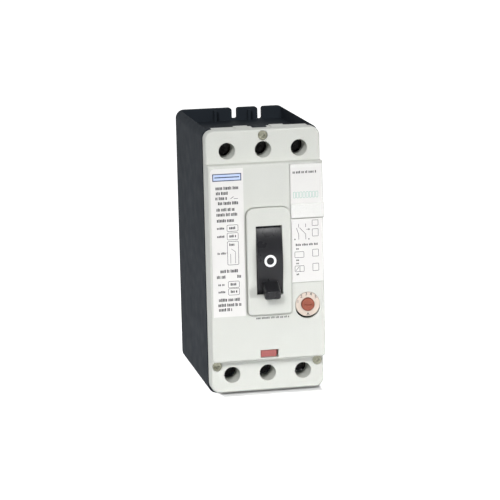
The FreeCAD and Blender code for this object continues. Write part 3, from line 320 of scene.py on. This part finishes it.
def finish_piece(name, mesh, material, body):
    """Turn a bmesh into a piece that rides on a body."""
    bmesh.ops.remove_doubles(mesh, verts=mesh.verts, dist=1e-7)
    bmesh.ops.recalc_face_normals(mesh, faces=mesh.faces)
    data = bpy.data.meshes.new(name)
    mesh.to_mesh(data)
    mesh.free()
    data.materials.append(material)
    piece = bpy.data.objects.new(name, data)
    bpy.context.scene.collection.objects.link(piece)
    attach(piece, body)
    return piece


def smooth(piece, angle=35):
    """Smooth shading that keeps creases sharper than the angle."""
    for face in piece.data.polygons:
        face.use_smooth = True
    piece.data.set_sharp_from_angle(angle=math.radians(angle))


class Face:
    """A flat front face that print is laid on, in millimetres from its top left corner."""

    def __init__(self, node, left=None, top=None):
        low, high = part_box(node)
        self.left = low.x if left is None else left * MM
        self.top = high.z if top is None else top * MM
        self.front = low.y
        self.mesh = bmesh.new()

    def at(self, across, down):
        return self.left + across * MM, self.top - down * MM

    def plate(self, outline, hole=None):
        """A thin raised plate inside an outline, with an optional hole of as many points."""
        front, back = self.front - INK_PROUD, self.front + INK_SINK
        loops = []
        for points in filter(None, (outline, hole)):
            for depth in (front, back):
                loops.append([self.mesh.verts.new((x, depth, z))
                              for x, z in (self.at(*point) for point in points)])
        walls = [(loops[0], loops[1])]
        if hole:
            walls += [(loops[0], loops[2]), (loops[1], loops[3]), (loops[2], loops[3])]
        else:
            self.mesh.faces.new(loops[0])
            self.mesh.faces.new(loops[1])
        for one, other in walls:
            for index in range(len(one)):
                after = (index + 1) % len(one)
                self.mesh.faces.new((one[index], one[after], other[after], other[index]))

    def block(self, left, top, right, bottom):
        self.plate(square_outline(left, top, right, bottom))

    def stroke(self, start, end, width=0.3):
        """A straight line of print between two places."""
        along = Vector(end) - Vector(start)
        side = Vector((-along.y, along.x)).normalized() * width / 2
        first, last = Vector(start), Vector(end)
        self.plate([tuple(first + side), tuple(last + side),
                    tuple(last - side), tuple(first - side)])

    def frame_box(self, left, top, right, bottom, radius=0.8, line=0.28):
        """A rounded box drawn as an outline."""
        outer = round_outline(left, top, right, bottom, radius)
        inner = round_outline(left + line, top + line, right - line, bottom - line,
                              max(0.05, radius - line))
        self.plate(outer, inner)

    def words(self, left, middle, right, height=1.7, seed=0):
        """A line of small text stood in for by plain blocks, grouped as words."""
        draw = random.Random(seed)
        place = left
        while place < right - 0.3:
            for _ in range(draw.randint(2, 6)):
                width = draw.uniform(0.5, 0.85)
                if place + width > right:
                    break
                rise = height / 2 + (0.25 if draw.random() < 0.3 else 0)
                self.block(place, middle - rise, place + width, middle + height / 2)
                place += width + BLOCK_GAP
            place += WORD_GAP

    def finish(self, name, material, body):
        return finish_piece(name, self.mesh, material, body)


def square_outline(left, top, right, bottom):
    return [(left, top), (right, top), (right, bottom), (left, bottom)]


def round_outline(left, top, right, bottom, radius):
    """The outline of a box with round corners, in order round it."""
    corners = [(right - radius, top + radius, -90), (right - radius, bottom - radius, 0),
               (left + radius, bottom - radius, 90), (left + radius, top + radius, 180)]
    points = []
    for across, down, start in corners:
        for step in range(CORNER_STEPS + 1):
            angle = math.radians(start + 90 * step / CORNER_STEPS)
            points.append((across + radius * math.cos(angle), down + radius * math.sin(angle)))
    return points


# ---------------------------------------------------------------- print on the rating label

# Text lines: how far down, and where each starts and ends across.
RATING_LINES = [
    (12.0, 3.0, 17.7), (15.1, 3.2, 11.7), (18.2, 2.8, 10.3), (21.3, 4.3, 16.9),
    (25.2, 3.3, 14.6), (28.3, 3.2, 17.4), (32.0, 3.4, 15.1),
    (63.4, 4.8, 16.2), (66.9, 2.5, 8.8), (66.9, 15.2, 17.7),
    (81.3, 3.4, 17.1), (84.5, 3.0, 17.9), (87.4, 3.3, 11.8),
]
# Frames: top and bottom; the tall one holds a contact symbol and the others a word.
RATING_BOXES = [(34.6, 38.8), (39.5, 44.0), (44.8, 59.6), (69.6, 73.8), (74.1, 78.4)]
TALL_BOX = 6
# Straight marks: start, end and width. The first three are a contact's two leads and its blade.
RATING_STROKES = [
    ((11.4, 52.6), (11.4, 58.6), 0.25), ((14.4, 51.4), (14.4, 58.6), 0.25),
    ((11.9, 49.6), (14.4, 51.4), 0.25), ((8.7, 51.9), (9.4, 51.9), 0.25),
    ((12.2, 18.6), (14.0, 17.2), 0.3), ((14.2, 18.6), (16.7, 18.6), 0.3),
]
# The header: the outsides of its border and field, and the bar across its middle.
HEADER_BORDER = (1.2, 3.0, 19.1, 7.6)
HEADER_FIELD = (1.8, 3.6, 18.5, 7.0)
HEADER_BAR = (2.5, 4.9, 17.8, 5.6)


def print_rating_label():
    label = Face("rating_label")
    for number, (down, left, right) in enumerate(RATING_LINES):
        label.words(left, down, right, seed=number)
    for number, (top, bottom) in enumerate(RATING_BOXES):
        label.frame_box(9.4, top, 16.5, bottom)
        middle = (top + bottom) / 2
        label.words(3.3, middle, 8.4, 1.1, seed=40 + number)
        if bottom - top < TALL_BOX:
            label.words(10.9, middle, 15.0, 1.4, seed=50 + number)
    label.words(10.7, 47.0, 15.2, 1.3, seed=60)
    for start, end, width in RATING_STROKES:
        label.stroke(start, end, width)
    label.finish("rating_print", INK_DARK, "housing")

    border = Face("rating_label")
    border.plate(square_outline(*HEADER_BORDER), square_outline(*HEADER_FIELD))
    border.block(*HEADER_BAR)
    border.finish("header_border", INK_BLUE, "housing")
    fill = Face("rating_label")
    left, top, right, bottom = HEADER_FIELD
    bar_left, bar_top, bar_right, bar_bottom = HEADER_BAR
    fill.block(left, top, right, bar_top)
    fill.block(left, bar_bottom, right, bottom)
    fill.block(left, bar_top, bar_left, bar_bottom)
    fill.block(bar_right, bar_top, right, bar_bottom)
    fill.finish("header_fill", INK_PALE_BLUE, "housing")


# ---------------------------------------------------------------- print on the accessory panels

BAND_CELLS = 8
BAND_PITCH = 2.0


def print_flap_label():
    label = Face("flap_label")
    label.words(1.2, 3.0, 16.2, 1.3, seed=70)
    label.finish("flap_print", INK_GREY, "accessory_flap")
    band = Face("flap_label")
    for number in range(BAND_CELLS):
        left = 1.3 + number * BAND_PITCH
        band.frame_box(left, 15.0, left + 1.6, 18.9, 0.5, 0.25)
    band.finish("flap_band", INK_GREEN, "accessory_flap")


# Tick boxes down the right side (top and bottom), and the tops of the two coil boxes.
TICK_BOXES = [(0.3, 4.0), (5.8, 10.6), (18.6, 23.2), (27.4, 32.2)]
COIL_BOXES = [19.6, 28.4]


def print_accessory_label():
    label = Face("accessory_label")
    for top, bottom in TICK_BOXES:
        label.frame_box(12.8, top, 16.8, bottom, 0.5)
    for top in COIL_BOXES:
        label.frame_box(1.6, top, 7.6, top + 3.9, 0.7)
    label.stroke((4.8, 28.6), (4.8, 32.1))
    label.stroke((2.3, 31.5), (4.2, 29.2))
    for down, seed in ((17.9, 80), (25.0, 81), (27.0, 82), (33.9, 83)):
        label.words(2.6, down, 4.4, 0.9, seed=seed)
    label.words(2.4, 15.5, 16.8, 1.15, seed=84)
    # Two make contacts, each with its lead, slanted blade and upper lead.
    for across, blade in ((4.4, 2.7), (8.8, 7.6)):
        label.stroke((across, 12.2), (across, 8.9))
        label.stroke((across, 8.9), (across - blade / 2, 4.8))
        label.stroke((across, 4.6), (across, 2.4))
    label.stroke((9.2, 6.0), (11.0, 6.0))
    label.plate([(11.6, 6.0), (10.6, 5.3), (10.6, 6.7)])
    label.words(1.6, 11.9, 3.1, 0.9, seed=85)
    label.words(10.4, 12.0, 11.9, 0.9, seed=86)
    label.finish("accessory_print", INK_GREY, "housing")


def print_cover():
    """One line of small text between the handle frame and the trip button."""
    bezel_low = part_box("handle_bezel")[0]
    line = Face("front_cover", bezel_low.x / MM, bezel_low.z / MM)
    line.words(5.2, 2.4, 26.4, 1.0, seed=90)
    line.finish("cover_print", INK_GREY, "housing")


# ---------------------------------------------------------------- setting dial

# Where the numerals stand, in degrees up from the right and as a share of the ring's radius,
# and their height.
SCALE_ANGLES = (162, 128, 98, 72, 41)
SCALE_REACH = 0.86
NUMERAL_HEIGHT = 2.7 * MM


def print_dial():
    """Numbered steps round the setting dial, and a small triangle and bar below it."""
    low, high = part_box("dial_scale")
    centre = (low + high) / 2
    radius = (high.x - low.x) / 2
    reach = radius * SCALE_REACH
    for number, angle in enumerate(SCALE_ANGLES, start=1):
        turn = math.radians(angle)
        curve = bpy.data.curves.new(f"numeral_{number}", "FONT")
        curve.body = str(number)
        curve.size = NUMERAL_HEIGHT
        curve.offset = 0.05 * MM
        curve.extrude = INK_PROUD / 2
        curve.align_x = "CENTER"
        curve.align_y = "CENTER"
        numeral = bpy.data.objects.new(f"scale_numeral_{number}", curve)
        place = (centre.x + reach * math.cos(turn), low.y - INK_PROUD / 2,
                 centre.z + reach * math.sin(turn))
        numeral.matrix_world = Matrix.Translation(place) @ Matrix.Rotation(math.pi / 2, 4, "X")
        bpy.context.scene.collection.objects.link(numeral)
        curve.materials.append(INK_GREY)
        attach(numeral, "housing")
    marks = Face("dial_scale")
    middle = radius / MM
    marks.plate([(middle, middle + 5.0), (middle + 0.75, middle + 6.3),
                 (middle - 0.75, middle + 6.3)])
    marks.block(middle - 1.1, middle + 6.6, middle + 1.1, middle + 6.95)
    marks.finish("scale_index", INK_DARK, "housing")


# ---------------------------------------------------------------- coil springs

# Coils: mean radius, wire radius and turns.
BUTTON_COIL = (1.93 * MM, 0.27 * MM, 9)
OVERCENTRE_COIL = (1.53 * MM, 0.33 * MM, 52)


def add_coil(mesh, start, end, radius, wire, turns):
    """A helix of round wire between two points, with its ends cut square."""
    along = end - start
    forward = along.normalized()
    side = forward.cross(Vector((1, 0, 0))).normalized()
    other = forward.cross(side)
    steps = turns * COIL_STEPS
    span = along.length - 2 * wire
    around = [math.tau * corner / WIRE_SIDES for corner in range(WIRE_SIDES)]
    rings = []
    for step in range(steps + 1):
        turn = math.tau * step / COIL_STEPS
        outward = math.cos(turn) * side + math.sin(turn) * other
        centre = start + forward * (wire + span * step / steps) + outward * radius
        rings.append([mesh.verts.new(centre + wire * (math.cos(angle) * outward
                                                      + math.sin(angle) * forward))
                      for angle in around])
    for one, after in zip(rings, rings[1:]):
        for corner in range(WIRE_SIDES):
            following = (corner + 1) % WIRE_SIDES
            mesh.faces.new((one[corner], one[following], after[following], after[corner]))
    mesh.faces.new(rings[0])
    mesh.faces.new(rings[-1])


def build_button_spring():
    """The trip button's return spring."""
    low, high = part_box("button_spring")
    centre = (low + high) / 2
    front = Vector((centre.x, low.y, centre.z))
    rear = Vector((centre.x, high.y, centre.z))
    mesh = bmesh.new()
    add_coil(mesh, rear, front, *BUTTON_COIL)
    spring = finish_piece("button_coil", mesh, MATERIALS["steel"], "housing")
    smooth(spring)
    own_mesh(spring)
    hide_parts("button_spring")


def build_mechanism_springs():
    """The pair of overcentre springs between the handle yoke and the knee."""
    corners = [vertex.co.copy() for vertex in NODES["mechanism_springs"].data.vertices]
    mesh = bmesh.new()
    for side in (-1, 1):
        own = [corner for corner in corners if corner.x * side > 0]
        middle = sum(corner.y for corner in own) / len(own)
        front = [corner for corner in own if corner.y < middle]
        rear = [corner for corner in own if corner.y > middle]
        ends = [sum(half, Vector()) / len(half) for half in (front, rear)]
        add_coil(mesh, *ends, *OVERCENTRE_COIL)
    springs = finish_piece("overcentre_coils", mesh, MATERIALS["steel"], "handle")
    smooth(springs)
    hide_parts("mechanism_springs")


# ---------------------------------------------------------------- scene

OPEN_SPREAD = 180
AIM = (0, -0.05, 0)

# Name, place, target, width and height (all in metres), watts and spread in degrees.
LIGHTS = [
    ("key", (-1.05, -2.05, 1.25), AIM, (0.40, 0.40), 45, OPEN_SPREAD),
    ("low_front", (0.95, -1.1, -0.02), (0, -0.11, -0.11), (0.5, 0.10), 0.36, 24),
    ("low_left", (-0.9, 0.05, -0.03), (0, -0.03, -0.08), (0.5, 0.06), 0.12, 30),
    ("high_front", (0.23, -1.16, 0.92), (0, -0.10, 0.02), (0.22, 0.22), 4.5, OPEN_SPREAD),
    ("back", (0.9, 1.7, 0.9), AIM, (1.6, 1.6), 1.5, OPEN_SPREAD),
]


def add_area_light(name, place, target, size, power, spread):
    """A rectangular lamp that faces its target; a narrow spread keeps its light to one strip."""
    data = bpy.data.lights.new(name, "AREA")
    data.shape = "RECTANGLE"
    data.size, data.size_y = size
    data.energy = power
    data.spread = math.radians(spread)
    lamp = bpy.data.objects.new(name, data)
    lamp.location = place
    lamp.rotation_mode = "QUATERNION"
    lamp.rotation_quaternion = (Vector(target) - Vector(place)).to_track_quat("-Z", "Y")
    bpy.context.scene.collection.objects.link(lamp)


FLOOR_GLOW = 0.80
FOOTPRINT_EDGE = 0.93


def outside_footprint(tree):
    """The floor's glow, which falls to nothing under the breaker as a painted contact shadow."""
    source = tree.nodes.new("ShaderNodeTexCoord")
    mapping = tree.nodes.new("ShaderNodeMapping")
    low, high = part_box("base_housing")
    # The base's round lower corner shows the floor on the left side.
    low.x += ROUND_CORNER
    low.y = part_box("front_cover")[0].y
    centre = (low + high) / 2
    size = high - low
    mapping.inputs["Location"].default_value = (-2 * centre.x / size.x, -2 * centre.y / size.y, 0)
    mapping.inputs["Scale"].default_value = (2 / size.x, 2 / size.y, 0)
    tree.links.new(source.outputs["Object"], mapping.inputs["Vector"])
    absolute = tree.nodes.new("ShaderNodeVectorMath")
    absolute.operation = "ABSOLUTE"
    tree.links.new(mapping.outputs["Vector"], absolute.inputs[0])
    split = tree.nodes.new("ShaderNodeSeparateXYZ")
    tree.links.new(absolute.outputs["Vector"], split.inputs[0])
    furthest = tree.nodes.new("ShaderNodeMath")
    furthest.operation = "MAXIMUM"
    tree.links.new(split.outputs["X"], furthest.inputs[0])
    tree.links.new(split.outputs["Y"], furthest.inputs[1])
    reach = tree.nodes.new("ShaderNodeMapRange")
    reach.inputs["From Min"].default_value = FOOTPRINT_EDGE
    reach.inputs["From Max"].default_value = 1.0
    reach.inputs["To Max"].default_value = FLOOR_GLOW
    tree.links.new(furthest.outputs["Value"], reach.inputs["Value"])
    return reach.outputs["Result"]


# The floor, in metres: nearest and furthest flat place, half width, sweep radius, backdrop height.
FLOOR_NEAR, FLOOR_FAR, FLOOR_SIDE, SWEEP_RADIUS, BACKDROP_TOP = -4.0, 9.0, 9.0, 2, 8.0


def build_floor():
    """A wide pale floor that curves up into a backdrop far behind the breaker."""
    level = cad_low.z
    mesh = bmesh.new()
    profile = [(FLOOR_NEAR, 0.0), (FLOOR_FAR, 0.0)]
    for degrees in range(SWEEP_STEP, 91, SWEEP_STEP):
        angle = math.radians(degrees)
        profile.append((FLOOR_FAR + SWEEP_RADIUS * math.sin(angle),
                        SWEEP_RADIUS - SWEEP_RADIUS * math.cos(angle)))
    profile.append((FLOOR_FAR + SWEEP_RADIUS, BACKDROP_TOP))
    rows = [[mesh.verts.new((x, y, level + z)) for x in (-FLOOR_SIDE, FLOOR_SIDE)]
            for y, z in profile]
    for one, other in zip(rows, rows[1:]):
        mesh.faces.new((one[0], one[1], other[1], other[0]))
    data = bpy.data.meshes.new("floor")
    mesh.to_mesh(data)
    mesh.free()
    floor = bpy.data.objects.new("floor", data)
    bpy.context.scene.collection.objects.link(floor)
    smooth(floor, 60)
    material, tree, shader = new_material("floor_paint")
    tint = ramp(tree, noise(tree, 120, 2), (0.90, 0.90, 0.90), (0.93, 0.93, 0.93))
    tree.links.new(tint, shader.inputs["Base Color"])
    shader.inputs["Roughness"].default_value = 0.9
    shader.inputs["Specular IOR Level"].default_value = 0.1
    shader.inputs["Emission Color"].default_value = (1, 1, 1, 1)
    # The floor glows evenly, except for a painted shadow under the breaker.
    tree.links.new(outside_footprint(tree), shader.inputs["Emission Strength"])
    data.materials.append(material)
    floor.visible_diffuse = False


def build_world():
    """A faint, slightly cool sky."""
    world = bpy.data.worlds.new("studio")
    world.use_nodes = True
    background = world.node_tree.nodes["Background"]
    background.inputs["Color"].default_value = (0.97, 0.985, 1.0, 1)
    background.inputs["Strength"].default_value = 0.26
    bpy.context.scene.world = world


def build_lights():
    for light in LIGHTS:
        add_area_light(*light)


# The camera's place in metres, its turns in radians, and its lens in millimetres.
CAMERA_PLACE = (-0.26996, -1.43246, 0.27097)
CAMERA_YAW, CAMERA_PITCH, CAMERA_ROLL = 0.193757, 0.191951, -0.022727
CAMERA_LENS = 161.67


def build_camera():
    """A long lens a little above and to the left of the breaker, looking slightly down."""
    forward = Vector((math.sin(CAMERA_YAW) * math.cos(CAMERA_PITCH),
                      math.cos(CAMERA_YAW) * math.cos(CAMERA_PITCH), -math.sin(CAMERA_PITCH)))
    right = Vector((math.cos(CAMERA_YAW), -math.sin(CAMERA_YAW), 0))
    above = right.cross(forward)
    rolled_right = math.cos(CAMERA_ROLL) * right + math.sin(CAMERA_ROLL) * above
    rolled_above = math.cos(CAMERA_ROLL) * above - math.sin(CAMERA_ROLL) * right
    turn = Matrix((rolled_right, rolled_above, -forward)).transposed()
    data = bpy.data.cameras.new("camera")
    data.lens = CAMERA_LENS
    data.sensor_width = 36
    data.clip_start, data.clip_end = 0.05, 50
    camera = bpy.data.objects.new("camera", data)
    camera.matrix_world = Matrix.Translation(CAMERA_PLACE) @ turn.to_4x4()
    bpy.context.scene.collection.objects.link(camera)
    bpy.context.scene.camera = camera


dress_nodes()
print_rating_label()
print_flap_label()
print_accessory_label()
print_cover()
print_dial()
build_button_spring()
build_mechanism_springs()
build_floor()
build_world()
build_lights()
build_camera()
bpy.context.scene.view_settings.view_transform = "Standard"
